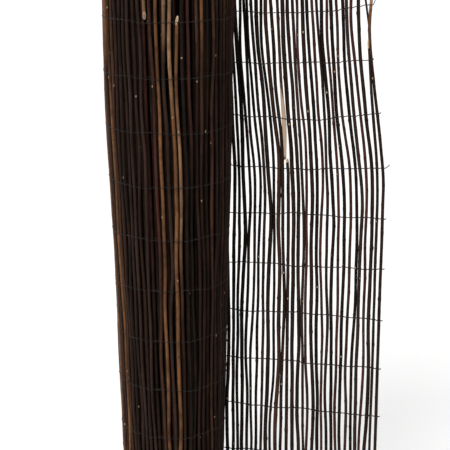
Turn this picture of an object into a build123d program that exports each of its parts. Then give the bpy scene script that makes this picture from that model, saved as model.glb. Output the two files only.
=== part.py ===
# A willow screen: whole rods with the bark on, bound side by side by rows of twisted wire. It stands on
# the rods' cut ends, with most of its length in a roll and the rest unrolled in a straight run. Lengths
# are millimetres. The origin is on the ground at the middle of the footprint, +Z is up, the front is -Y.
from build123d import *
from math import cos, pi, radians, sin
from random import Random
import os

# The mat, laid out flat
screen_height = 1500
mat_length = 3000
rod_count = 246
rod_pitch = mat_length / rod_count
uneven_tops = 9

# The rods, whose butts and tips point up and down by turns
thin_rod, thick_rod = 2.9, 4.3
roll_thin_rod, roll_thick_rod = 3.0, 3.85
taper = 0.06
rod_sides, hidden_rod_sides, wire_sides = 16, 6, 6
least_gap, most_gap = 0.2, 1.8

# The roll, which is tighter at its foot. Its rods lean round it, and those of the outer turn also bow out.
# At their foot, their bow and their top they stray sideways by up to the three drifts
roll_radius = 129.4
turn_pitch = 10
foot_flare, top_flare = 0.868, 1.125
foot_drift, bow_drift, top_drift = 1.1, 1.8, 2.3
loosening = 0.15
lean = 12
bow, bow_height, bow_wander = 2.6, 960, 50
turns_in_view = 1

# Two short rods of the outer turn, by their count from the run: where one starts and where one ends
raised_rods = {33: 1222}
shortened_rods = {38: 1214}

# The unrolled run, which leaves the roll at a tangent. At its foot, knee, shoulder and top it has a height,
# a width, and how much its rods are packed towards the roll
run_rods = 37
run_heading = -21
run_levels = ((0, 447, 0), (850, 441, 0), (1140, 398, 0.38), (screen_height, 384, 0.75))
knee_wander, knee_step = 30, 0.45
shoulder_wander = 20
first_gap = 2

# The binding wire
wire_rows = 13
first_row = 60
row_pitch = (screen_height - 2 * first_row) / (wire_rows - 1)
wire_radius = 0.6
row_rise = 24
row_sags = (0, 0, 0, 0, -3, 0, -5, 11, 16, 8, 17, 10, 8)
sag_place = 0.6
wire_start = 18
wire_tail = 7
wire_clearance = 0.1
strand_offset = thick_rod * (1 + taper) + wire_clearance + wire_radius

# The forked rod at the free edge, and the short rod that leans on it
fork_height = 1210
fork_narrows = 1140
fork_bend = 1000
kink_height = 1232
fork_aside, bend_aside, kink_aside, fork_top_aside = 0, 1, 6, 12
branch_radius = 2.4
branch_top = 1478
lean_height, short_tip_height = 1068, 1152
short_tip_radius = 1.9
lean_turn, tip_turn = 45, 78
resting_gap = 0.4
tip_row, tip_strand_offset = 10, 9.4

# The torn rod, with a blade of bare wood above its stub
torn_rod = 19
stub_top = 916
blade_foot, blade_full, blade_top = 900, 965, 1054
blade_half_width, blade_half_thickness = 5.4, 1.7
blade_aside, stub_aside = -0.8, 1.6
torn_radius = 3.3

golden_ratio = 1.618
heading = radians(run_heading)
leaving_angle = heading + pi / 2
chance = Random(7)



def lean_share(angle):
    """How much of the full lean and bow a rod of the roll has: none beside the run, all half a turn on."""
    return sin(min((angle - leaving_angle) / 2, pi / 2)) ** 2


def flare(height):
    """How far the roll has opened at a height, against its size half-way up."""
    return foot_flare + (top_flare - foot_flare) * height / screen_height


# The roll stands where the roll at its top and the run at its knee reach as far to either side
knee_height, knee_width, knee_packing = run_levels[1]
roll_reach = roll_radius * flare(screen_height)
run_reach = roll_radius * flare(knee_height) * cos(leaving_angle) + (knee_width + wire_tail) * cos(heading)
roll_x = (roll_reach - run_reach) / 2


def in_roll(angle, radius, height):
    """A point in the roll, by its angle and its radius half-way up."""
    reach = radius * flare(height)
    return roll_x + reach * cos(angle), reach * sin(angle)


def in_run(along, height, forward=0):
    """A point of the unrolled run, by its distance from the roll and in front of the mat."""
    x, y = in_roll(leaving_angle, roll_radius, height)
    x += along * cos(heading) + forward * sin(heading)
    y += along * sin(heading) - forward * cos(heading)
    return x, y


def grown_radius(middle_radius, butt_up, height):
    """A rod's radius at a height, with its thick end up or down."""
    upward = 2 * height / screen_height - 1
    return middle_radius * (1 + taper * upward * (1 if butt_up else -1))


def grow_rod(sections, sides=rod_sides):
    """A rod through its (height, (x, y), radius) sections, from foot to top."""
    with BuildPart() as rod:
        for height, place, radius in sections:
            with BuildSketch(Plane.XY.offset(height)):
                with Locations(place):
                    RegularPolygon(radius, sides)
        loft(ruled=True)
    return rod.part


def spread(width, packing, radii, gap_shares):
    """Distances of the run's rods from the roll, with uneven gaps and no rod across another."""
    last = len(radii) - 1
    shares = [
        share * (1 + packing * (1 - 2 * count / last)) for count, share in enumerate(gap_shares)
    ]
    unit = (width - first_gap - 2 * sum(radii) + radii[0]) / sum(shares)
    places = []
    edge = first_gap
    for radius, share in zip(reversed(radii), reversed(shares)):
        places.append(edge + share * unit + radius)
        edge = places[-1] + radius
    return places[::-1]


def save(piece, name):
    piece.label = name
    export_step(piece, f"parts/{name}.step")


os.makedirs("parts", exist_ok=True)

# The run's rods are counted from the free edge, and each has a place at each level
radii = [chance.uniform(thin_rod, thick_rod) for rod in range(run_rods)]
steady_gaps = [chance.uniform(least_gap, most_gap) for rod in range(run_rods)]
level_places = [
    spread(width, packing, radii, [gap + chance.uniform(least_gap, most_gap) for gap in steady_gaps])
    for height, width, packing in run_levels
]


def level_heights(number):
    """The heights at which one of the run's rods bends, with its foot and its top."""
    foot, knee, shoulder, top = (height for height, width, packing in run_levels)
    knee += knee_wander * sin(knee_step * number)
    shoulder += shoulder_wander * cos(knee_step * number)
    return foot, knee, shoulder, top - uneven_tops * (number * golden_ratio % 1)


def slot(number, height):
    """Distance from the roll of one of the run's rods, at a height."""
    places = [places[number - 1] for places in level_places]
    heights = level_heights(number)
    below = max(level for level in range(3) if heights[level] <= height)
    share = (height - heights[below]) / (heights[below + 1] - heights[below])
    return places[below] + (places[below + 1] - places[below]) * share


def run_section(number, height, aside=0, radius=None):
    """Section of one of the run's rods at a height."""
    own = grown_radius(radii[number - 1], number % 2 == 0, height)
    return height, in_run(slot(number, height) + aside, height), radius or own


# Plain rods of the run
for number in range(3, run_rods + 1):
    if number == torn_rod:
        continue
    rod = grow_rod([run_section(number, height) for height in level_heights(number)])
    save(rod, f"rod_{number:02d}")

# The forked rod at the free edge. Its branch takes the second rod's place above the fork
stem = grow_rod(
    [
        run_section(1, 0),
        run_section(1, level_heights(1)[1]),
        run_section(1, fork_bend, bend_aside),
        run_section(1, fork_narrows, fork_aside),
        run_section(1, fork_height, fork_aside),
        run_section(1, kink_height, kink_aside),
        run_section(1, screen_height, fork_top_aside),
    ]
)
branch = grow_rod(
    [
        run_section(1, fork_height - 20, fork_aside, radius=branch_radius),
        run_section(2, fork_height + 60, radius=branch_radius),
        run_section(2, branch_top, radius=branch_radius),
    ]
)
with BuildPart() as forked_rod:
    add([stem, branch])
save(forked_rod.part, "rod_01")

# The short rod beside it, which comes round to the front of the forked stem and rests its tip on it
def resting_section(height, radius, turn):
    """Section of the short rod against the stem, turned towards its front by an angle."""
    stem_along = slot(1, height) + fork_aside
    if height < fork_narrows:
        share = (fork_narrows - height) / (fork_narrows - fork_bend)
        stem_along = slot(1, fork_narrows) + fork_aside
        stem_along += (slot(1, fork_bend) + bend_aside - stem_along) * share
    reach = radii[0] * (1 + taper) + radius + resting_gap
    along = stem_along - reach * cos(radians(turn))
    return height, in_run(along, height, reach * sin(radians(turn))), radius


short_rod = grow_rod(
    [
        run_section(2, 0),
        run_section(2, level_heights(2)[1]),
        run_section(2, fork_bend, bend_aside),
        resting_section(lean_height, radii[1], lean_turn),
        resting_section(short_tip_height, short_tip_radius, tip_turn),
    ]
)
save(short_rod, "rod_02")

# The torn rod: a stub below, a flat blade of split wood in the middle, and the whole rod again above
stub = grow_rod(
    [
        run_section(torn_rod, 0),
        run_section(torn_rod, level_heights(torn_rod)[1]),
        run_section(torn_rod, stub_top, stub_aside),
    ]
)
blade_sections = (
    (blade_foot, blade_aside, blade_half_width, blade_half_thickness),
    (blade_full, blade_aside, blade_half_width, blade_half_thickness),
    (blade_top, 0, torn_radius, torn_radius),
    (level_heights(torn_rod)[-1], 0, torn_radius, torn_radius),
)
with BuildPart() as torn:
    for height, aside, half_width, half_thickness in blade_sections:
        middle = Vector(*in_run(slot(torn_rod, height) + aside, height), height)
        with BuildSketch(Plane(middle, x_dir=(cos(heading), sin(heading), 0))):
            RegularPolygon(1, rod_sides)
            scale(by=(half_width, half_thickness, 1))
    loft(ruled=True)
    add(stub)
save(torn.part, f"rod_{torn_rod}")

# The roll, from the rod next to the run inwards
turns = []
angle = leaving_angle + rod_pitch / 2 / roll_radius
for count in range(rod_count - run_rods):
    turn = (angle - leaving_angle) / (2 * pi)
    radius = roll_radius - turn_pitch * turn
    if int(turn) == len(turns):
        turns.append([])
    turns[-1].append((angle, radius))
    angle += rod_pitch / radius

for number, rods in enumerate(turns, 1):
    sides = rod_sides if number <= turns_in_view else hidden_rod_sides
    grown = []
    for count, (angle, radius) in enumerate(rods):
        thickness = chance.uniform(roll_thin_rod, roll_thick_rod)
        share = lean_share(angle)
        foot, top = 0, screen_height - uneven_tops * (count * golden_ratio % 1)
        levels = []
        if number <= turns_in_view:
            foot, top = raised_rods.get(count, foot), shortened_rods.get(count, top)
            bow_level = bow_height + chance.uniform(-bow_wander, bow_wander)
            if foot < bow_level:
                levels.append((bow_level, bow_drift, bow * share))
        levels = [(foot, foot_drift, 0), *levels, (top, top_drift, 0)]
        sections = []
        for height, drift, outward in levels:
            turned = radians(lean) * share * (0.5 - height / screen_height)
            place = in_roll(
                angle + turned + chance.uniform(-drift, drift) / radius,
                radius + outward + chance.uniform(-loosening, loosening),
                height,
            )
            sections.append((height, place, grown_radius(thickness, count % 2 == 0, height)))
        grown.append(grow_rod(sections, sides))
    with BuildPart() as roll_turn:
        add(grown)
    save(roll_turn.part, f"roll_turn_{number}")

# The binding wire: a front and a back strand to each row, past every rod of the run, with the row's sag
for row in range(wire_rows):
    height = first_row + row * row_pitch
    wire_end = slot(1, height + row_rise) + wire_tail
    sag_along = wire_start + (wire_end - wire_start) * sag_place
    sagged = height + row_rise * sag_place - row_sags[row]
    with BuildPart() as binding_wire:
        for side in (strand_offset, -strand_offset):
            end_side = tip_strand_offset if side > 0 and row + 1 == tip_row else side
            points = (
                (wire_start, height, side),
                (sag_along, sagged, side),
                (wire_end, height + row_rise, end_side),
            )
            for along, level, forward in points:
                middle = Vector(*in_run(along, level, forward), level)
                with BuildSketch(Plane(middle, z_dir=(cos(heading), sin(heading), 0))):
                    RegularPolygon(wire_radius, wire_sides)
            loft(ruled=True)
    save(binding_wire.part, f"binding_wire_{row + 1:02d}")
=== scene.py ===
"""A willow screen with its bark on, standing partly unrolled on a pale floor."""

from math import cos, pi, radians, sin, tau
from random import Random

import bmesh
import bpy
import numpy as np
from bpy.props import FloatProperty, FloatVectorProperty, IntProperty, PointerProperty
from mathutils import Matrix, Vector


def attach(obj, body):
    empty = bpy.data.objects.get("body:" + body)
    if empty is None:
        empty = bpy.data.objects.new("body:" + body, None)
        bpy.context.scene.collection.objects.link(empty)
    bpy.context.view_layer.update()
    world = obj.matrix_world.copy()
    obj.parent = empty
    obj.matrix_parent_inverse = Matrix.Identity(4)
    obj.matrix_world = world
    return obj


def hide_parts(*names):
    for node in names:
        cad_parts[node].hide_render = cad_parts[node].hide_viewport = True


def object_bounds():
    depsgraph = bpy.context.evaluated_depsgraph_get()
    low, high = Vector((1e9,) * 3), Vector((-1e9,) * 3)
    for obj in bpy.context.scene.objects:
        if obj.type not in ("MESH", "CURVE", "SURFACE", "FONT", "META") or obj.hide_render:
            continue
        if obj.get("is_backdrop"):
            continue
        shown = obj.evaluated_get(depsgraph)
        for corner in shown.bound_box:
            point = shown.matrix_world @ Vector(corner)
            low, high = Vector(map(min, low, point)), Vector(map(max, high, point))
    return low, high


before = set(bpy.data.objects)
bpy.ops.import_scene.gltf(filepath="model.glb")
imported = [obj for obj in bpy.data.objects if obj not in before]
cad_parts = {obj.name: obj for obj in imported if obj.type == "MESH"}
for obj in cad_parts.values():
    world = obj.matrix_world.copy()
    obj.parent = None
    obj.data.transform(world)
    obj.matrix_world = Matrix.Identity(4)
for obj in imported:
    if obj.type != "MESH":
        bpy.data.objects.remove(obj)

bl_info = {
    "name": "Willow Screen",
    "version": (1, 0, 0),
    "blender": (4, 5, 0),
    "location": "3D View > Sidebar > Willow Screen",
    "description": "Grows a partly unrolled willow screen, binds it with wire and sets its stage",
    "category": "Add Mesh",
}

RUN_RODS = sorted(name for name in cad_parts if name.startswith("rod_"))
ROLL_TURNS = sorted(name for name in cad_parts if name.startswith("roll_turn_"))
WIRE_ROWS = sorted(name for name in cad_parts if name.startswith("binding_wire_"))
FORKED_ROD, SHORT_ROD, TORN_ROD = "rod_01", "rod_02", "rod_19"
FORK_HEIGHT = 1.21

# The torn rod's blade: its foot, where it is widest, and where its bark ends
BLADE_FOOT, BLADE_MIDDLE, BARK_END = 0.872, 0.965, 1.045

# The waves that run over the mat: size, rods in a wave, and its height
MAT_WAVES = ((1, 17, 0.9), (0.7, -10, 0.52), (0.5, 6.5, 0.31), (0.3, -4.3, 0.23))

# How wide the inner ring of a cut is, against the rod
INNER_CUT = 0.55

# How far a strand keeps from its rod and its twin, and where it starts to twist, in its radii
OFF_ROD, OFF_TWIN, TWIST_START = 1.15, 1.05, 1.4

# The run's heading away from the roll, the angle at which it leaves, and the roll's axis
HEADING = radians(-21)
ALONG = np.array([cos(HEADING), sin(HEADING)])
FORWARD = np.array([sin(HEADING), -cos(HEADING)])
LEAVING = HEADING + pi / 2
ROLL_AXIS = np.array([-0.1598, 0])

# The rods' full height, and the heights at which the mat's rods are laid out
FULL_HEIGHT = 1.5
LEVELS = np.linspace(0, FULL_HEIGHT, 151)

# The angle from one bud of a rod to the next
BUD_TURN = radians(137.5)

# Each grown rod's heights, middles and radii, kept for the wire that goes round it
grown_lines = {}


def linear(red, green, blue):
    """A colour written in 0 to 255 steps, as a renderer counts light."""
    return tuple(
        part / 12.92 if part <= 0.04045 else ((part + 0.055) / 1.055) ** 2.4
        for part in (red / 255, green / 255, blue / 255)
    )


def colour(name, red, green, blue):
    default = linear(red, green, blue)
    about = f"{name}, as the material has it"
    return FloatVectorProperty(
        name=name, description=about, subtype="COLOR", min=0, max=1, default=default
    )


def number(name, description, default, **kind):
    return FloatProperty(name=name, description=description, default=default, precision=5, **kind)


def length(name, description, default):
    return number(name, description, default, subtype="DISTANCE", unit="LENGTH")


def sides(name, description, default):
    return IntProperty(name=name, description=description, default=default, min=4)


class WillowRodSettings(bpy.types.PropertyGroup):
    run_sides: sides("Sides in the run", "Sides of a rod in the run", 14)
    roll_sides: sides("Sides in the roll", "Sides of a rod in the outer turn", 12)
    inner_sides: sides("Sides inside", "Sides of a rod in the inner turns", 8)
    inner_stoutness: number("Inner stoutness", "Thickness of the inner rods, against the CAD", 1.3)
    knot_spacing: length("Knot spacing", "Usual distance between two buds of a rod", 0.048)
    bend: length("Bend", "How far a rod bows to either side of its line", 0.0014)
    sway: length("Sway", "How far neighbouring rods bow together", 0.0022)
    swell: length("Swell", "How far the roll stands out on the side away from the run", 0.0045)
    crook: length("Crook", "How far a rod sets off to one side at a bud", 0.0003)
    clearance: length("Clearance", "Least room between two rods of the mat", 0.0003)
    cut_rim: length("Cut rim", "Width of the worn edge round a cut end", 0.0003)
    black: colour("Black brown bark", 25, 18, 13)
    dark: colour("Dark brown bark", 42, 29, 23)
    brown: colour("Brown bark", 66, 45, 34)
    red: colour("Red brown bark", 70, 41, 35)
    grey: colour("Grey brown bark", 52, 40, 35)
    golden: colour("Golden bark", 119, 84, 56)
    tan: colour("Tan bark", 150, 118, 90)
    bare_wood: colour("Bare wood", 238, 214, 188)


class BindingWireSettings(bpy.types.PropertyGroup):
    radius: length("Radius", "Radius of one strand", 0.00065)
    wave: length("Wave", "How far a row strays up and down", 0.0016)
    tail: length("Tail", "Length of the twisted tail past the last rod", 0.004)
    colour: colour("Black wire", 24, 22, 21)


class StudioSettings(bpy.types.PropertyGroup):
    camera_distance: length("Camera distance", "From the camera to the middle of the view", 2.8)
    camera_pitch: number(
        "Camera pitch", "How far it looks down", radians(15.5), subtype="ANGLE", unit="ROTATION"
    )
    lens: number("Lens", "Focal length in millimetres", 101.4)
    ambient: number("Ambient light", "Light that comes from all round", 0.3)
    key_strength: number("Key light", "Strength of the soft light from the front", 2.6)


class Socket:
    """A value in a material, which takes part in sums as a number does."""

    def __init__(self, tree, output):
        self.tree, self.output = tree, output

    def sum(self, operation, *values):
        return self.tree.node("Math", dict(enumerate(values)), operation=operation)

    def __add__(self, other):
        return self.sum("ADD", self, other)

    def __sub__(self, other):
        return self.sum("SUBTRACT", self, other)

    def __rsub__(self, other):
        return self.sum("SUBTRACT", other, self)

    def __mul__(self, other):
        return self.sum("MULTIPLY", self, other)

    __radd__, __rmul__ = __add__, __mul__

    def held(self):
        """The value kept between 0 and 1."""
        return self.tree.node("Clamp", {"Value": self})


class Tree:
    """The nodes of one material, or of the world."""

    def __init__(self, owner):
        owner.use_nodes = True
        self.nodes, self.links = owner.node_tree.nodes, owner.node_tree.links
        self.nodes.clear()

    def node(self, kind, inputs=(), output=0, **settings):
        """Adds a node: its settings first, then the values or links of its sockets."""
        made = self.nodes.new("ShaderNode" + kind)
        for name, value in settings.items():
            setattr(made, name, value)
        for name, value in dict(inputs).items():
            if isinstance(value, Socket):
                self.links.new(value.output, made.inputs[name])
            else:
                made.inputs[name].default_value = value
        return Socket(self, made.outputs[output] if len(made.outputs) else None)

    def mark(self, name, output="Fac"):
        """What a piece's corners say under a name."""
        return self.node("Attribute", output=output, attribute_name=name)

    def mix(self, share, first, second):
        """A colour between two others."""
        sides = {
            socket: (*colour, 1) if isinstance(colour, tuple) else colour
            for socket, colour in ((6, first), (7, second))
        }
        return self.node("Mix", {0: share, **sides}, 2, data_type="RGBA")

    def vector(self, operation, first, second):
        return self.node("VectorMath", {0: first, 1: second}, operation=operation)

    def ramp(self, value, low, high):
        """0 below the low value, 1 above the high one, and smooth between."""
        reach = {"Value": value, "From Min": low, "From Max": high}
        return self.node("MapRange", reach, interpolation_type="SMOOTHSTEP")

    def noise(self, place, scale, detail=3.0, roughness=0.55):
        inputs = {"Vector": place, "Scale": scale, "Detail": detail, "Roughness": roughness}
        return self.node("TexNoise", inputs)

    def shade(self, inputs, height, strength, distance):
        """Ends a material in its surface, with a bump."""
        bump = self.node("Bump", {"Strength": strength, "Distance": distance, "Height": height})
        shader = self.node("BsdfPrincipled", {**inputs, "Normal": bump})
        self.node("OutputMaterial", {"Surface": shader})


def placed(name, data):
    """A new object in the scene."""
    made = bpy.data.objects.new(name, data)
    bpy.context.scene.collection.objects.link(made)
    return made


class Skin:
    """Gathers closed skins into one mesh, with the marks that its material reads."""

    def __init__(self):
        self.corners, self.faces, self.marks, self.count = [], [], {}, 0

    def add(self, rings, **marks):
        """Adds a skin over rings of corners, closed by a middle corner at each end."""
        rows, sides = rings.shape[:2]
        grid = self.count + np.arange(rows * sides).reshape(rows, sides)
        after = np.roll(grid, -1, 1)
        foot, top = self.count + rows * sides, self.count + rows * sides + 1
        walls = np.stack([grid[:-1], after[:-1], after[1:], grid[1:]], -1).reshape(-1, 4)
        self.faces += walls.tolist()
        self.faces += [(foot, b, a) for a, b in zip(grid[0].tolist(), after[0].tolist())]
        self.faces += [(top, a, b) for a, b in zip(grid[-1].tolist(), after[-1].tolist())]
        self.corners += [rings.reshape(-1, 3), rings[0].mean(0)[None], rings[-1].mean(0)[None]]
        self.count += rows * sides + 2
        for name, values in marks.items():
            values = np.asarray(values, float)
            depth = 3 if name == "tint" else 1
            values = values if depth == 3 else values[..., None]
            full = np.broadcast_to(values, (rows, sides, depth))
            ends = np.stack([full[0].mean(0), full[-1].mean(0)])
            if name == "core":
                ends[:] = 0
            self.marks.setdefault(name, []).append(np.concatenate([full.reshape(-1, depth), ends]))

    def make(self, name, material):
        """The gathered skins as one object."""
        mesh = bpy.data.meshes.new(name)
        mesh.from_pydata(np.concatenate(self.corners), [], self.faces)
        for mark, values in self.marks.items():
            values = np.concatenate(values)
            if mark == "tint":
                values = np.concatenate([values, np.ones((len(values), 1))], 1)
            kind, field = ("FLOAT_COLOR", "color") if mark == "tint" else ("FLOAT", "value")
            layer = mesh.attributes.new(mark, kind, "POINT")
            layer.data.foreach_set(field, values.astype(np.float32).ravel())
        mesh.polygons.foreach_set("use_smooth", [True] * len(mesh.polygons))
        mesh.materials.append(material)
        mesh.update()
        return placed(name, mesh)


def solids_of(node):
    """The corners of each separate solid of a CAD node, in the order they are met."""
    source = bmesh.new()
    source.from_mesh(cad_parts[node].data)
    bmesh.ops.remove_doubles(source, verts=source.verts, dist=1e-5)
    source.verts.ensure_lookup_table()
    seen, solids = set(), []
    for start in source.verts:
        if start.index in seen:
            continue
        seen.add(start.index)
        waiting, found = [start], []
        while waiting:
            corner = waiting.pop()
            found.append(corner.co.copy())
            for edge in corner.link_edges:
                other = edge.other_vert(corner)
                if other.index not in seen:
                    seen.add(other.index)
                    waiting.append(other)
        solids.append(np.array(found))
    source.free()
    return solids


def stations(corners):
    """A rod's level rings from the foot up, as heights, centres and radii."""
    rings = {}
    for corner in corners:
        rings.setdefault(round(float(corner[2]), 4), []).append(corner)
    found = []
    for height in sorted(rings):
        ring = np.array(rings[height])
        if len(ring) < 5:
            continue
        # The circle through the ring, also where part of it is missing
        x, y = ring[:, 0], ring[:, 1]
        fit = np.linalg.lstsq(
            np.stack([2 * x, 2 * y, np.ones(len(x))], 1), x * x + y * y, rcond=None
        )[0]
        radius = float(np.sqrt(max(fit[2] + fit[0] ** 2 + fit[1] ** 2, 0)))
        found.append((height, fit[0], fit[1], radius))
    return np.array(found)


def eased(heights, at, values, reach=0.07):
    """Values between stations, with the corners at the stations rounded off."""
    half = np.clip(np.minimum(heights - at[0], at[-1] - heights), 0, reach)
    shares = np.linspace(-1, 1, 9)
    return sum(np.interp(heights + share * half, at, values) for share in shares) / len(shares)


def straying(heights, chance, waves=(0.61, 0.33, 0.19)):
    """A slow random wave of about 1 to either side."""
    total = 0
    for wave in waves:
        wave *= chance.uniform(0.8, 1.25)
        total = total + np.sin(tau * heights / wave + chance.uniform(0, tau)) * wave / waves[0]
    return total / 1.4


def buds(chance, foot, top, spacing):
    """The buds and leaf scars of a rod: height, angle, size, and how pale each is."""
    height, angle = foot + chance.uniform(0.3, 1) * spacing, chance.uniform(0, tau)
    found = []
    while height < top - 0.01:
        pale = chance.random() < 0.16
        size = chance.uniform(1.2, 1.9) if pale else chance.uniform(0.5, 1.2)
        found.append((height, angle, size, 1.0 if pale else -1.0))
        height += spacing * chance.uniform(0.55, 1.5)
        angle += BUD_TURN + chance.uniform(-0.35, 0.35)
    return found


def ring_heights(foot, top, knots, step):
    """Heights for a rod's rings, closer together round each knot."""
    heights = list(np.linspace(foot, top, max(2, round((top - foot) / step) + 1)))
    for knot in knots:
        heights += [knot[0] + offset for offset in (-0.0045, -0.0015, 0.001, 0.0045)]
    heights = sorted(height for height in heights if foot <= height <= top)
    kept = [heights[0]]
    for height in heights[1:]:
        if height - kept[-1] > 0.0009:
            kept.append(height)
    kept[-1] = top
    return np.array(kept)


def middle_of(line, heights, chance, bends, reach):
    """Centres and radii of a rod at the given heights, with its own bends."""
    x, y, radius = (eased(heights, line[:, 0], line[:, column], reach) for column in (1, 2, 3))
    sideways = bends * straying(heights, chance)
    forward = bends * straying(heights, chance)
    quiet = np.clip(heights / 0.1, 0.25, 1)
    centres = np.stack([x, y], 1)
    centres += (sideways * quiet)[:, None] * ALONG + (forward * quiet)[:, None] * FORWARD
    return centres, radius


def shared_waves(seed):
    """Long waves that run over the mat, which its rods bow along with."""
    chance = Random(seed)
    return [
        (size / 1.7, across, tall, chance.uniform(0, tau))
        for size, across, tall in MAT_WAVES
    ]


def swayed(count, waves):
    """How far the shared waves carry one rod aside, by level."""
    return sum(
        size * np.sin(tau * (count / across + LEVELS / tall) + phase)
        for size, across, tall, phase in waves
    )


def kept_apart(places, reaches, held, clearance):
    """Distances along the mat, by rod and level, moved where two neighbours would meet."""
    for step in range(80):
        room = np.diff(places, axis=0) - reaches[1:] - reaches[:-1] - clearance
        short = np.minimum(room, 0) / 2
        push = np.zeros_like(places)
        push[:-1] += short
        push[1:] -= short
        push[held] = 0
        places = places + push
    return places


def laid_out(line, places, radii):
    """A rod's line at the mat's levels, from its own foot to its own top."""
    low, high = line[0, 0], line[-1, 0]
    full = np.column_stack([LEVELS, places, radii])
    foot, top = (
        [end, *(np.interp(end, LEVELS, values) for values in full.T[1:])] for end in (low, high)
    )
    return np.array([foot, *full[(LEVELS > low + 0.004) & (LEVELS < high - 0.004)], top])


def tint_along(stops, heights):
    """A bark's colour at each height, between its (height, colour) stops."""
    at = [height for height, colour in stops]
    parts = zip(*(colour for height, colour in stops))
    return np.stack([np.interp(heights, at, part) for part in parts], 1)


def knot_shapes(heights, angles, knots, scar_rise=0.0024, scar_width=0.55):
    """How far the knots swell a rod's skin, and how pale or dark their scars are."""
    swelling = np.zeros((len(heights), len(angles)))
    scar = np.zeros_like(swelling)
    for height, angle, size, pale in knots:
        away = np.abs((angles - angle + pi) % tau - pi)[None]
        rise = (heights - height)[:, None]
        swelling = swelling + 0.045 * size * np.exp(-((rise / 0.006) ** 2))
        swelling = swelling + 0.2 * size * np.exp(-((rise / 0.0028) ** 2) - (away / 0.6) ** 2)
        scar = scar + pale * np.exp(-((rise / scar_rise) ** 2) - (away / scar_width) ** 2)
    return swelling, scar


def cut_end(rings, tints, bare, core, scar, at_top, share):
    """Adds a cut to one end: a worn rim, then two rings of cut wood."""
    rim = bpy.context.scene.willow_rods.cut_rim
    end = rings[-1 if at_top else 0]
    middle = end.mean(0)
    cut = np.array([middle + (end - middle) * inside for inside in (share, INNER_CUT)])
    # The last ring of bark sits just inside the cut
    end[:, 2] -= rim if at_top else -rim
    cap = np.ones((2, rings.shape[1]))
    return [
        np.concatenate([values, added] if at_top else [added[::-1], values])
        for values, added in (
            (rings, cut),
            (tints, tints[[-1, -1] if at_top else [0, 0]]),
            (bare, cap),
            (core, cap * ((1.0,), (INNER_CUT,))),
            (scar, cap * 0),
        )
    ]


def add_rod(skin, layers, seed):
    skin.add(layers[0], **dict(zip(("tint", "bare", "core", "scar"), layers[1:])), seed=seed)


def grow(
    skin, name, line, tint, sides, step, spacing, bends=0, ease=0.07, extra=(), foot=None, top=None
):
    """Grows one rod over its line and keeps its middle under its name.

    The step is the height between rings, the spacing that between buds. A foot or top is the
    slope of a slanted cut there.
    """
    chance = Random(name)
    settings = bpy.context.scene.willow_rods
    low, high = line[0, 0], line[-1, 0]
    knots = (buds(chance, low, high, spacing) if spacing else []) + list(extra)
    heights = ring_heights(low, high, knots, step)
    centres, radii = middle_of(line, heights, chance, bends, ease)
    # A rod sets off a little to one side at each bud
    corners = sorted({low, high, *(knot[0] for knot in knots)})
    for direction in (ALONG, FORWARD):
        aside = [chance.uniform(-1, 1) * settings.crook for corner in corners]
        centres += np.interp(heights, corners, aside)[:, None] * direction
    grown_lines[name] = (heights, centres, radii)
    turn = chance.uniform(0, tau)
    angles = turn + np.arange(sides) * tau / sides
    uneven = 0.035 * straying(heights, chance, (0.23, 0.11, 0.05))[:, None]
    oval = 0.03 * np.cos(2 * (angles - chance.uniform(0, pi)))[None]
    swelling, scar = knot_shapes(heights, angles, knots)
    reach = radii[:, None] * (1 + uneven + oval + swelling)
    x, y = centres[:, :1] + reach * np.cos(angles), centres[:, 1:] + reach * np.sin(angles)
    rings = np.stack(np.broadcast_arrays(x, y, heights[:, None]), -1)
    # A slanted cut draws the rings near it to its slope
    for end, slope in ((low, foot), (high, top)):
        if slope:
            lift = (rings[..., :2] - centres[:, None]) @ np.array(slope)
            share = 1 - np.abs(heights - end)[:, None] / (2.4 * np.abs(lift).max())
            rings[..., 2] += lift * np.clip(share, 0, 1)
    bare = np.zeros(reach.shape)
    core = np.ones(reach.shape)
    shade = 1 + 0.26 * straying(heights, chance, (0.4, 0.17, 0.08))
    tints = shade[:, None] * tint_along(tint, heights)
    tints = np.broadcast_to(tints[:, None], (*reach.shape, 3))

    layers = rings, tints, bare, core, scar
    for at_top in (False, True):
        layers = cut_end(*layers, at_top, 1 - settings.cut_rim / radii[-1])
    add_rod(skin, layers, chance.random())


def hand_over(skin, name, node, material):
    """Makes the piece that stands for a CAD node."""
    piece = skin.make(name, material)
    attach(piece, "root")
    if node:
        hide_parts(node)


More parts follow.
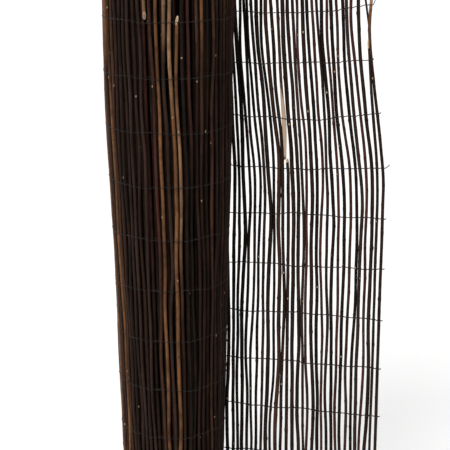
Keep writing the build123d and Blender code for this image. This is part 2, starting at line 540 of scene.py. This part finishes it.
def bark():
    """Thin bark with wrinkles, patches, pores and bud scars, and the bare wood of cuts."""
    known = bpy.data.materials.get("willow_bark")
    if known:
        return known
    settings = bpy.context.scene.willow_rods
    material = bpy.data.materials.new("willow_bark")
    tree = Tree(material)
    place = tree.node("TexCoord", output="Object")
    tint = tree.mark("tint", "Color")
    seed, bare, scar, core = (tree.mark(name) for name in ("seed", "bare", "scar", "core"))

    shift = tree.node("CombineXYZ", {"X": seed, "Y": seed * 3, "Z": seed * 17})
    own = tree.vector("ADD", place, shift)
    wrinkles = tree.noise(tree.vector("MULTIPLY", own, (1, 1, 0.07)), 1500, 4)
    patches = tree.noise(tree.vector("MULTIPLY", own, (1, 1, 0.3)), 190, 4, 0.6)
    clouds = tree.noise(tree.vector("MULTIPLY", own, (0.5, 0.5, 1)), 16, 3)
    grid = {"Vector": tree.vector("MULTIPLY", own, (1, 1, 0.55)), "Scale": 520.0}
    pores = tree.node("TexVoronoi", grid, "Distance")
    pore = (1 - tree.ramp(pores, 0.1, 0.24)) * tree.ramp(patches, 0.5, 0.62)

    shaded = tree.vector("MULTIPLY", tint, (0.44, 0.4, 0.38))
    lit = tree.vector("MULTIPLY", tint, (1.6, 1.54, 1.5))
    light = (wrinkles * 0.9 + patches * 1.1 - 0.5).held()
    colour = tree.mix(light, shaded, lit)
    colour = tree.mix(tree.ramp(clouds, 0.5, 0.7) * 0.4, colour, linear(60, 41, 33))
    colour = tree.mix(tree.ramp(clouds, 0.5, 0.32) * 0.5, colour, linear(26, 18, 14))
    colour = tree.mix(pore * 0.4, colour, linear(110, 88, 66))
    colour = tree.mix(tree.ramp(scar, 0.3, 0.8), colour, linear(196, 166, 128))
    colour = tree.mix(tree.ramp(scar * -1, 0.2, 0.9) * 0.8, colour, linear(16, 12, 10))

    grain = tree.noise(tree.vector("MULTIPLY", own, (1, 1, 0.05)), 2300, 3)
    wood = tree.mix(grain, linear(204, 172, 140), tuple(settings.bare_wood))
    rings = tree.node("Math", {0: core * 40}, operation="SINE")
    ringed = (rings * 0.5 + 0.5) * 0.25 * (1 - tree.ramp(core, 0.93, 0.99))
    wood = tree.mix(ringed, wood, linear(132, 98, 66))
    wood = tree.mix(1 - tree.ramp(core, 0.1, 0.2), wood, linear(88, 60, 40))
    wood = tree.mix((1 - tree.ramp(core, 0.5, 0.79)) * 0.6, wood, linear(158, 122, 84))
    colour = tree.mix(tree.ramp(bare, 0.3, 0.7), colour, wood)

    look = {
        "Base Color": colour,
        "Roughness": 0.42 + patches * 0.22 + bare * 0.2,
        "Specular IOR Level": 0.07,
    }
    tree.shade(look, wrinkles * 0.5 + patches * 0.5 + pore * 0.6, 0.5, 0.0004)
    return material


def black_wire():
    """Dull black annealed wire, browner where it has begun to rust."""
    known = bpy.data.materials.get("black_wire")
    if known:
        return known
    material = bpy.data.materials.new("black_wire")
    tree = Tree(material)
    place = tree.node("TexCoord", output="Object")
    rust = tree.noise(place, 260, 3)
    scale = tree.noise(place, 2600, 2)
    black = tuple(bpy.context.scene.binding_wire.colour)
    colour = tree.mix(tree.ramp(rust, 0.5, 0.72) * 0.6, black, linear(82, 56, 42))
    look = {"Base Color": colour, "Metallic": 0.3, "Roughness": 0.4 + rust * 0.3}
    tree.shade(look, scale, 0.3, 0.0001)
    return material


def bark_stops(special):
    """A rod's bark as (height, colour) stops, from a colour's name or from (height, name) stops."""
    rods = bpy.context.scene.willow_rods
    stops = ((0, special),) if isinstance(special, str) else special
    return [(height, tuple(getattr(rods, name))) for height, name in stops]


def pick_tint(chance, shares):
    """A bark's stops by chance: one colour, drawn a little towards a second at one end and further
    towards a third at the other.
    """
    first, second, third = (bark_stops(name)[0][1] for name in chance.choices(*zip(*shares), k=3))
    butt = np.array(first) * 0.8 + np.array(second) * 0.2
    tip = np.array(first) * 0.6 + np.array(third) * 0.4
    low, high = (butt, tip) if chance.random() < 0.5 else (tip, butt)
    return [(0, tuple(low)), (FULL_HEIGHT, tuple(high))]


# How common each bark colour is: in view, and inside the roll or in the roll's shadow, where the
# darker mix is painted shade
USUAL_BARK = (
    ("black", 0.30),
    ("dark", 0.30),
    ("brown", 0.14),
    ("red", 0.11),
    ("grey", 0.12),
    ("golden", 0.02),
    ("tan", 0.01),
)
# Rods of the run past this number lie in the roll's shadow; their darker bark is painted shade
LAST_IN_THE_OPEN = 22
SHADED_BARK = (("black", 0.8), ("dark", 0.15), ("grey", 0.05))

# Rods of the run whose bark stands out, by their place from the free edge
RUN_TINTS = dict(
    enumerate(
        (
            *("dark", "red", "grey", "black", "brown", "black", "red", "black"),
            *("dark", "red", "black", "dark", "red", "grey", "dark", "dark"),
            *("red", "dark", "brown", "black", "dark", "grey", "black", "dark"),
        ),
        3,
    )
)

# Rods of the roll whose bark stands out, by their place from the run. The last two are of the
# second turn and show below the raised rod.
ROLL_TINTS = {
    # The black and dark bark of rods 39 to 48, on the roll's right side, is partly the rods' own
    # colour and partly painted shade of that side
    **dict.fromkeys((39, 43, 46, 95), "black"),
    **dict.fromkeys((27, 31, 45, 48), "dark"),
    **dict.fromkeys((26, 44, 47), "brown"),
    **dict.fromkeys((30, 32), "grey"),
    23: ((1.08, "brown"), (1.2, "golden")),
    24: ((1.1, "dark"), (1.25, "golden")),
    25: ((1.0, "golden"), (1.12, "brown"), (1.25, "brown"), (1.3, "tan")),
    33: "tan",
    34: ((0.6, "brown"), (0.78, "red"), (1.0, "red"), (1.25, "brown")),
    35: "golden",
    36: ((1.15, "grey"), (1.22, "tan")),
    37: ((1.0, "golden"), (1.15, "tan")),
    38: ((0.5, "dark"), (0.66, "brown"), (0.8, "tan"), (1.1, "golden")),
    40: ((0.9, "black"), (1.15, "red")),
    41: ((1.1, "dark"), (1.2, "brown")),
    42: ((0.9, "dark"), (1.12, "brown"), (1.2, "golden")),
    94: ((0.66, "dark"), (0.8, "red")),
}

# Pale bud scars that face the front, by rod and height
FRONT_SCARS = {
    "roll 26": (1.335,),
    "roll 38": (0.985,),
    "roll 39": (1.272, 1.138),
    "roll 41": (1.088,),
    "roll 42": (0.833,),
    "rod_07": (1.122,),
}


def front_scars(name):
    """The buds whose pale scars face the front, each as (height, angle, size, paleness)."""
    return [(height, -pi / 2, 1.1, 1) for height in FRONT_SCARS.get(name, ())]


def forked_lines():
    """The forked rod's stem, with its right arm, and its side branch, from inside the stem."""
    line = stations(solids_of(FORKED_ROD)[0])
    height = line[:, 0]
    top = height[-1] - 0.01
    own = line[(height > FORK_HEIGHT + 0.04) & (height < top)]
    stem = line[(height < FORK_HEIGHT + 0.03) | (height > top)]
    fork = stem[np.abs(stem[:, 0] - FORK_HEIGHT).argmin()]
    return stem, np.array([[fork[0] - 0.02, fork[1], fork[2], own[0, 3] * 0.9], *own])


def run_lines():
    """The lines of the run's plain rods, which bow with their neighbours and keep clear of them."""
    settings = bpy.context.scene.willow_rods
    branch = forked_lines()[1]
    nodes = [node for node in RUN_RODS if node != FORKED_ROD][::-1]
    waves, deep_waves = shared_waves("run"), shared_waves("run depth")
    lines, places, depths, reaches = [], [], [], []
    for count, node in enumerate(nodes):
        line = stations(solids_of(node)[0])
        if node == TORN_ROD:
            # Without the rings of the stub and the blade
            line = line[(line[:, 0] < 0.89) | (line[:, 0] > 1)]
        if node == SHORT_ROD:
            # Above it, the side branch takes its place in the mat
            line = np.concatenate([line[line[:, 0] < 1.01], branch[1:]])
        lines.append(line)
        x, y, radius = (eased(LEVELS, line[:, 0], line[:, column]) for column in (1, 2, 3))
        centres = np.stack([x, y], 1)
        place, depth = centres @ ALONG, centres @ FORWARD
        if node not in (SHORT_ROD, TORN_ROD):
            chance = Random(f"bows {node}")
            quiet = np.clip(LEVELS / 0.2, 0.15, 1) * min(1, 0.4 + count / 4)
            own = settings.bend * straying(LEVELS, chance, (0.45, 0.25, 0.14))
            place = place + (own + settings.sway * swayed(count, waves)) * quiet
            own = settings.bend * straying(LEVELS, chance, (0.45, 0.25, 0.14))
            depth = depth + (own + settings.sway * 0.5 * swayed(count, deep_waves)) * quiet
        # The blade needs more room than the rod
        torn = (node == TORN_ROD) * 0.0022 * np.exp(-(((LEVELS - 0.95) / 0.07) ** 4))
        places.append(place)
        depths.append(depth)
        reaches.append(radius * 1.05 + torn)
    held = [nodes.index(SHORT_ROD), nodes.index(TORN_ROD)]
    places = kept_apart(np.array(places), np.array(reaches), held, settings.clearance)
    return {
        node: laid_out(line, place[:, None] * ALONG + depth[:, None] * FORWARD, reach)
        for node, line, place, depth, reach in zip(nodes, lines, places, depths, reaches)
    }


class WILLOW_OT_run_rods(bpy.types.Operator):
    """Grow the plain rods of the unrolled run"""

    bl_idname = "willow.run_rods"
    bl_label = "Grow the Run's Rods"

    def execute(self, context):
        settings = context.scene.willow_rods
        for node, line in run_lines().items():
            if node in (SHORT_ROD, TORN_ROD):
                continue
            number = int(node[-2:])
            # Rods in the roll's shadow take the darker bark that paints their shade
            shares = SHADED_BARK if number > LAST_IN_THE_OPEN else USUAL_BARK
            tint = pick_tint(Random(f"tint {node}"), shares)
            if number in RUN_TINTS:
                tint = bark_stops(RUN_TINTS[number])
            skin = Skin()
            sides, spacing = settings.run_sides, settings.knot_spacing
            scars = front_scars(node)
            grow(skin, node, line, tint, sides, 0.02, spacing, ease=0.01, extra=scars)
            hand_over(skin, f"willow_{node}", node, bark())
        return {"FINISHED"}


class WILLOW_OT_forked_rod(bpy.types.Operator):
    """Grow the forked rod at the free edge, and the short rod that leans on it"""

    bl_idname = "willow.forked_rod"
    bl_label = "Grow the Forked Rod"

    def execute(self, context):
        settings = context.scene.willow_rods
        sides, spacing, bend = settings.run_sides, settings.knot_spacing, settings.bend
        stem, branch = forked_lines()
        skin = Skin()
        stem_tint = ((1.1, "dark"), (1.15, "brown"), (1.22, "golden"), (1.24, "tan"))
        for name, part, tint, ease in (
            (FORKED_ROD, stem, stem_tint, 0.03),
            ("side_branch", branch, "dark", 0.02),
        ):
            grow(skin, name, part, bark_stops(tint), sides, 0.012, spacing, bend * 0.2, ease)
        hand_over(skin, f"willow_{FORKED_ROD}", FORKED_ROD, bark())

        skin = Skin()
        line = stations(solids_of(SHORT_ROD)[0])
        tint = bark_stops(((1.1, "dark"), (1.14, "brown")))
        grow(skin, SHORT_ROD, line, tint, sides, 0.01, spacing, bend * 0.15, top=(-1, 6))
        hand_over(skin, f"willow_{SHORT_ROD}", SHORT_ROD, bark())
        return {"FINISHED"}


# The splinters of the blade's foot: place across it, and how far each tip stands up
SPLINTERS = (
    *((-1, 0.01), (-0.75, 0), (-0.5, 0.022), (-0.1, 0.004)),
    *((0.2, 0.027), (0.5, 0.012), (0.8, 0.03), (1, 0.016)),
)


class WILLOW_OT_torn_rod(bpy.types.Operator):
    """Grow the torn rod, with its stub and its blade of bare wood"""

    bl_idname = "willow.torn_rod"
    bl_label = "Grow the Torn Rod"

    def execute(self, context):
        settings = context.scene.willow_rods
        corners = solids_of(TORN_ROD)[0]
        line = stations(corners)
        knee = line[(line[:, 0] > 0.7) & (line[:, 0] < 0.89)][0]
        stub_top = line[(line[:, 0] > 0.91) & (line[:, 0] < 0.93)][0]
        upper = line[line[:, 0] > 1.0]
        blade = corners[np.abs(corners[:, 2] - BLADE_MIDDLE) < 0.002].mean(0)
        skin = Skin()
        stub = np.array([line[0], knee, [stub_top[0] - 0.03, *stub_top[1:]]])
        sides, spacing, bend = settings.run_sides, settings.knot_spacing, settings.bend * 0.3
        tint = bark_stops("dark")
        grow(skin, TORN_ROD, stub, tint, sides, 0.03, spacing, bend, top=(0.9, 1.2))
        self.split(skin, settings, blade, upper)
        hand_over(skin, f"willow_{TORN_ROD}", TORN_ROD, bark())
        return {"FINISHED"}

    def split(self, skin, settings, blade, upper):
        """The whole rod above, torn down to a flat blade with a ragged foot."""
        chance = Random("blade")
        sides = settings.run_sides * 2
        low, high = BLADE_FOOT, upper[-1, 0]
        at = np.array([low, BLADE_MIDDLE, upper[0, 0], high])
        knots = buds(chance, 1.07, high, settings.knot_spacing)
        heights = ring_heights(low, high, knots, 0.012)
        radius = upper[0, 3]
        x, y, wide, deep = (
            eased(heights, at, np.array(values), 0.03)
            for values in (
                (blade[0], blade[0], upper[0, 1], upper[-1, 1]),
                (blade[1], blade[1], upper[0, 2], upper[-1, 2]),
                (0.0052, 0.0054, radius, radius),
                (0.0011, 0.0016, radius, radius),
            )
        )
        angles = np.arange(sides) * tau / sides
        along = wide[:, None] * np.cos(angles)
        forward = deep[:, None] * np.sin(angles)
        fibre = np.array([chance.uniform(-1, 1) for side in range(sides)])
        flat = np.clip((1.06 - heights) / 0.09, 0, 1)[:, None]
        along = along * (1 + 0.05 * flat * fibre)
        forward = forward * (1 + 0.3 * flat * fibre)
        swelling, scar = knot_shapes(heights, angles, knots, 0.0028, 0.6)
        along, forward = along * (1 + swelling), forward * (1 + swelling)
        rise = np.broadcast_to(heights[:, None], along.shape).copy()
        # The ragged foot: splinters of different lengths
        teeth = np.interp(np.cos(angles), *zip(*SPLINTERS))
        share = np.clip((low + 0.045 - heights) / 0.045, 0, 1)[:, None]
        rise = rise + teeth * share
        x, y = (
            middle[:, None] + along * ALONG[axis] + forward * FORWARD[axis]
            for axis, middle in enumerate((x, y))
        )
        rings = np.stack([x, y, rise], -1)
        # Bark gives way to bare wood along an uneven edge
        edge = BARK_END + 0.018 * np.cos(angles * 2 + 1) + 0.01 * fibre
        bare = np.clip((edge - rise) / 0.004 + 0.5, 0, 1)
        core = np.where(bare > 0.5, 0.8, 1.0)
        paler = 0.9 + 0.5 * np.clip((1.2 - heights) / 0.15, 0, 1)[:, None, None]
        tint = np.broadcast_to(np.array(settings.brown) * paler, (*along.shape, 3))
        add_rod(skin, cut_end(rings, tint, bare, core, scar, True, 0.92), 0.37)


def roll_lines():
    """Every rod of the roll, from the run inwards, as (node, line)."""
    found, order = [], []
    for number, node in enumerate(ROLL_TURNS):
        lines = [stations(solid) for solid in solids_of(node)]
        middles = [
            [np.interp(FULL_HEIGHT / 2, line[:, 0], line[:, column]) for column in (1, 2)]
            for line in lines
        ]
        x, y = (np.array(middles) - ROLL_AXIS).T
        reach = np.hypot(x, y)
        part = ((np.arctan2(y, x) - LEAVING) / tau) % 1
        # A rod that strays over the place where the turns meet is told by its reach
        part -= (part > 0.9) & (reach > reach.mean())
        part += (part < 0.1) & (reach < reach.mean())
        order += list(part + number)
        found += [(node, line) for line in lines]
    return [found[place] for place in np.argsort(order, kind="stable")]


def outer_lines(rods):
    """The outer turn's rods, which bow with their neighbours and keep clear of them."""
    settings = bpy.context.scene.willow_rods
    waves, deep_waves = shared_waves("roll"), shared_waves("roll depth")
    angles, spans, reaches = [], [], []
    for line in rods:
        x, y, radius = (eased(LEVELS, line[:, 0], line[:, column]) for column in (1, 2, 3))
        angles.append(np.arctan2(y - ROLL_AXIS[1], x - ROLL_AXIS[0]))
        spans.append(np.hypot(x - ROLL_AXIS[0], y - ROLL_AXIS[1]))
        reaches.append(radius)
    angles, spans, reaches = np.unwrap(angles, axis=0), np.array(spans), np.array(reaches)
    around = spans[[line[0, 0] == 0 for line in rods]].mean(0)
    places = angles * around
    for count in range(len(rods)):
        chance = Random(f"bows roll {count}")
        quiet = np.clip(LEVELS / 0.2, 0.15, 1) * min(1, 0.2 + count / 6)
        own = settings.bend * 1.2 * straying(LEVELS, chance, (0.5, 0.27, 0.15))
        places[count] += (own + settings.sway * swayed(count, waves)) * quiet
        own = settings.bend * 0.6 * straying(LEVELS, chance, (0.5, 0.27, 0.15))
        spans[count] += (own + settings.sway * 0.3 * swayed(count, deep_waves)) * quiet
        swell = np.exp(-(((LEVELS - 1.0) / 0.22) ** 2) - ((angles[count] - pi - 0.1) / 0.6) ** 2)
        spans[count] += settings.swell * swell
    for count, line in enumerate(rods):
        # Where a rod is missing, its neighbours have its room
        gone = (LEVELS < line[0, 0]) | (LEVELS > line[-1, 0] + 0.01)
        reaches[count, gone] = 0
    places = kept_apart(places, reaches * 1.05, [0, len(rods) - 1], settings.clearance)
    lines = []
    for line, angle, span, reach in zip(rods, places / around, spans, reaches):
        centres = ROLL_AXIS + span[:, None] * np.stack([np.cos(angle), np.sin(angle)], 1)
        lines.append(laid_out(line, centres, np.where(reach > 0, reach, reach.max())))
    return lines


class WILLOW_OT_roll_rods(bpy.types.Operator):
    """Grow the rods of every turn of the roll"""

    bl_idname = "willow.roll_rods"
    bl_label = "Grow the Roll's Rods"

    def execute(self, context):
        settings = context.scene.willow_rods
        rods = roll_lines()
        skins = {node: Skin() for node in ROLL_TURNS}
        outer = outer_lines([line for node, line in rods if node == ROLL_TURNS[0]])
        for count, (node, line) in enumerate(rods):
            in_view = node == ROLL_TURNS[0]
            seen_between = node == ROLL_TURNS[1]
            # Turns inside the second take the darker bark, painted shade of the roll's inside
            shares = USUAL_BARK if in_view or seen_between else SHADED_BARK
            tint = pick_tint(Random(f"roll tint {count}"), shares)
            if count in ROLL_TINTS:
                tint = bark_stops(ROLL_TINTS[count])
            name = f"roll {count}"
            if not in_view:
                stout = line * (1, 1, 1, settings.inner_stoutness)
                bends = settings.bend * 0.5
                grow(skins[node], name, stout, tint, settings.inner_sides, 0.05, 0, bends)
                continue
            sides, spacing = settings.roll_sides, settings.knot_spacing * 1.35
            cuts = {
                "foot": (0, -2.5) if line[0, 0] > 0.1 else None,
                "top": (1.5, 2.5) if line[-1, 0] < 1.4 else None,
            }
            kind = {"ease": 0.01, "extra": front_scars(name), **cuts}
            grow(skins[node], name, outer[count], tint, sides, 0.025, spacing, **kind)
        for node, skin in skins.items():
            hand_over(skin, f"willow_{node}", node, bark())
        return {"FINISHED"}


def wire_stops():
    """The rods from the free edge into the roll, and a function of the height for their middle and
    radius. Where a rod has ended, the second of its names takes its place.
    """

    def at(choices, height):
        for name in choices:
            heights, centres, radii = grown_lines[name]
            if heights[0] <= height <= heights[-1]:
                place = [np.interp(height, heights, centres[:, column]) for column in (0, 1)]
                return np.array(place), float(np.interp(height, heights, radii))

    names = []
    for node in RUN_RODS:
        names.append((node, "side_branch") if node == SHORT_ROD else (node,))
    in_roll = sum(name.startswith("roll ") for name in grown_lines)
    return names + [(f"roll {count}",) for count in range(in_roll)], at


def row_heights(node):
    """A row's height by its distance along the run, from its CAD strands."""
    corners = np.concatenate(solids_of(node))
    along = corners[:, :2] @ ALONG
    order = np.argsort(along)
    along, heights = along[order], corners[order, 2]
    groups = np.split(np.arange(len(along)), np.nonzero(np.diff(along) > 0.005)[0] + 1)
    return [np.array([column[group].mean() for group in groups]) for column in (along, heights)]


def strand_path(stops, side, radius, turns_between, arc, gap):
    """The points of one strand, past each stop on one side and the next on the other."""
    places, heights, reaches = (np.array(column) for column in zip(*stops))
    headings = np.gradient(places, axis=0)
    headings /= np.linalg.norm(headings, axis=1)[:, None]
    outward = np.stack([-headings[:, 1], headings[:, 0]], 1)
    points = []
    for count in range(len(places)):
        front = side if count % 2 == 0 else -side
        reach = reaches[count] + radius * OFF_ROD
        for angle in np.linspace(-1.05, 1.05, arc):
            spot = (
                places[count]
                + headings[count] * reach * sin(angle)
                + outward[count] * front * reach * cos(angle)
            )
            points.append((*spot, heights[count]))
        if count + 1 == len(places):
            break
        start = places[count] + headings[count] * (reaches[count] + radius * TWIST_START)
        end = places[count + 1] - headings[count + 1] * (reaches[count + 1] + radius * TWIST_START)
        space = float((end - start) @ headings[count])
        if space < 0.0004:
            continue
        half_turns = turns_between if space > 0.0022 else 1
        number = gap if half_turns > 1 else max(2, gap // 2)
        out = (outward[count] + outward[count + 1]) / 2
        for share in np.linspace(0, 1, number):
            turn = pi * half_turns * share
            spot = start + (end - start) * share + out * front * radius * OFF_TWIN * cos(turn)
            height = heights[count] + (heights[count + 1] - heights[count]) * share
            points.append((*spot, height + front * radius * OFF_TWIN * sin(turn)))
    return np.array(points)


def tube(skin, points, radius, sides):
    """Adds a wire of even thickness along points."""
    ahead = np.gradient(points, axis=0)
    ahead /= np.linalg.norm(ahead, axis=1)[:, None] + 1e-12
    across = np.cross(ahead, (0, 0, 1.0))
    across /= np.linalg.norm(across, axis=1)[:, None] + 1e-12
    over = np.cross(across, ahead)
    angles = np.arange(sides) * tau / sides
    rings = (
        points[:, None]
        + radius * np.cos(angles)[None, :, None] * across[:, None]
        + radius * np.sin(angles)[None, :, None] * over[:, None]
    )
    skin.add(rings)


# Rows whose tail stands out, by their number from the foot: its length, and how steeply it rises
LONG_TAILS = {8: (0.011, 0.8), 11: (0.006, 2.2)}


class WILLOW_OT_binding_wires(bpy.types.Operator):
    """Bind the rods with rows of twisted wire, in the run and round the roll"""

    bl_idname = "willow.binding_wires"
    bl_label = "Bind the Rods"

    def execute(self, context):
        settings = context.scene.binding_wire
        if not grown_lines:
            raise RuntimeError("grow the rods before binding them")
        names, at = wire_stops()
        in_run = len(RUN_RODS)
        outer = len(solids_of(ROLL_TURNS[0]))
        for node in WIRE_ROWS:
            number = int(node[-2:])
            chance = Random(f"row {number}")
            along, levels = row_heights(node)
            stops = []
            phases = [chance.uniform(0, tau) for wave in range(3)]
            for count, choices in enumerate(names):
                level = levels[0]
                found = at(choices, level)
                if found and count < in_run:
                    level = float(eased(np.array([found[0] @ ALONG]), along, levels, 0.06)[0])
                stray = settings.wave * sum(
                    sin(tau * count / wave + phase) for wave, phase in zip((23, 13, 7), phases)
                ) / 1.6
                level += stray + chance.uniform(-0.0003, 0.0003)
                found = at(choices, level)
                if found:
                    stops.append((found[0], level, found[1], count))
            run = [stop[:3] for stop in stops if stop[3] <= in_run]
            first_turn = [stop[:3] for stop in stops if in_run <= stop[3] < in_run + outer + 1]
            inside = [stop[:3] for stop in stops if stop[3] >= in_run + outer]
            skin, roll_skin = Skin(), Skin()
            for side in (1, -1):
                radius = settings.radius
                path = strand_path(run, side, radius, 3, 5, 9)
                path = np.concatenate([self.tail(number, run, side, settings), path[:-3]])
                tube(skin, path, radius, 6)
                turned = side if len(run) % 2 == 1 else -side
                tube(roll_skin, strand_path(first_turn, turned, radius, 1, 5, 5), radius, 5)
                turned = turned if len(first_turn) % 2 == 1 else -turned
                tube(roll_skin, strand_path(inside, turned, radius, 1, 3, 2), radius, 4)
            hand_over(skin, f"run_wire_{number:02d}", node, black_wire())
            hand_over(roll_skin, f"roll_wire_{number:02d}", None, black_wire())
        return {"FINISHED"}

    def tail(self, number, run, side, settings):
        """The twisted tail past the rod at the free edge, bent a little upward."""
        length, rise = LONG_TAILS.get(number, (settings.tail, 0.35))
        place, height, reach = run[0]
        out = place - run[1][0]
        out = out / np.linalg.norm(out)
        outward = np.array([out[1], -out[0]])
        start = place + out * (reach + settings.radius * TWIST_START)
        points = []
        for share in np.linspace(1, 0, 16):
            turn = pi * 5 * share
            along = length * share
            spot = start + out * along + outward * side * settings.radius * OFF_TWIN * cos(turn)
            lift = rise * length * share**1.5 + side * settings.radius * OFF_TWIN * sin(turn)
            points.append((*spot, height + lift))
        return np.array(points)


WHITE = (1, 1, 1, 1)


class WILLOW_OT_stage(bpy.types.Operator):
    """Set the floor, the lights, the world and the camera"""

    bl_idname = "willow.stage"
    bl_label = "Set the Stage"

    def execute(self, context):
        scene = context.scene
        settings = scene.studio
        scene.view_settings.view_transform = "Standard"
        low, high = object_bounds()
        roll_middle = np.mean([solid.mean(0)[:2] for solid in solids_of(ROLL_TURNS[0])], axis=0)
        target = Vector((roll_middle[0] + 0.12, 0, (low.z + high.z) / 2))
        pitch = settings.camera_pitch
        camera = bpy.data.cameras.new("camera")
        camera.lens = settings.lens
        camera.sensor_width = 36
        eye = placed("camera", camera)
        back = Vector((0, -cos(pitch), sin(pitch)))
        eye.location = target + back * settings.camera_distance
        eye.rotation_euler = (pi / 2 - pitch, 0, 0)
        scene.camera = eye

        self.floor()
        self.lamp("key_light", (-0.62, -1, 1.3), settings.key_strength)
        world = bpy.data.worlds.new("studio")
        scene.world = world
        tree = Tree(world)
        around, white = (
            tree.node("Background", {"Color": WHITE, "Strength": strength})
            for strength in (settings.ambient, 1.0)
        )
        mixed = tree.node("MixShader", {0: self.seen(tree), 1: around, 2: white})
        tree.node("OutputWorld", {"Surface": mixed})
        return {"FINISHED"}

    def seen(self, tree):
        """1 for what the camera sees, straight or in a gloss or through glass."""
        rays = ("Is Camera Ray", "Is Glossy Ray", "Is Transmission Ray")
        return sum(tree.node("LightPath", output=ray) for ray in rays).held()

    def floor(self):
        mesh = bpy.data.meshes.new("floor")
        reach = 14
        corners = [(x * reach, y * reach, 0) for x, y in ((-1, -1), (1, -1), (1, 1), (-1, 1))]
        mesh.from_pydata(corners, [], [(0, 1, 2, 3)])
        floor = placed("floor", mesh)
        material = bpy.data.materials.new("pale_floor")
        tree = Tree(material)
        matt = tree.node("BsdfDiffuse", {"Color": (0.42, 0.42, 0.415, 1)})
        glow = tree.node("Emission", {"Color": WHITE, "Strength": self.seen(tree) * 0.7})
        both = tree.node("AddShader", {0: matt, 1: glow})
        tree.node("OutputMaterial", {"Surface": both})
        mesh.materials.append(material)
        floor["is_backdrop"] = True

    def lamp(self, name, direction, strength):
        """A wide soft light, even over the whole stage, from one direction."""
        light = bpy.data.lights.new(name, "SUN")
        light.angle = radians(28)
        light.energy = strength
        lamp = placed(name, light)
        lamp.location = Vector(direction) * 2
        lamp.rotation_euler = Vector(direction).to_track_quat("Z", "Y").to_euler()


STEPS = (
    WILLOW_OT_run_rods,
    WILLOW_OT_forked_rod,
    WILLOW_OT_torn_rod,
    WILLOW_OT_roll_rods,
    WILLOW_OT_binding_wires,
    WILLOW_OT_stage,
)


class VIEW3D_PT_willow_screen(bpy.types.Panel):
    bl_label = "Willow Screen"
    bl_space_type = "VIEW_3D"
    bl_region_type = "UI"
    bl_category = "Willow Screen"

    def draw(self, context):
        layout = self.layout
        for step in STEPS:
            layout.operator(step.bl_idname)
        for name in GROUPS:
            settings = getattr(context.scene, name)
            box = layout.box()
            for setting in settings.bl_rna.properties.keys()[2:]:
                box.prop(settings, setting)


GROUPS = {
    "willow_rods": WillowRodSettings,
    "binding_wire": BindingWireSettings,
    "studio": StudioSettings,
}


def register():
    for part in (*GROUPS.values(), *STEPS, VIEW3D_PT_willow_screen):
        bpy.utils.register_class(part)
    for name, group in GROUPS.items():
        setattr(bpy.types.Scene, name, PointerProperty(type=group))


def unregister():
    for name in GROUPS:
        delattr(bpy.types.Scene, name)
    for part in (VIEW3D_PT_willow_screen, *STEPS[::-1], *GROUPS.values()):
        bpy.utils.unregister_class(part)


def main():
    register()
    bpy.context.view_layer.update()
    for step in STEPS:
        group, name = step.bl_idname.split(".")
        getattr(getattr(bpy.ops, group), name)()


if __name__ == "__main__":
    main()
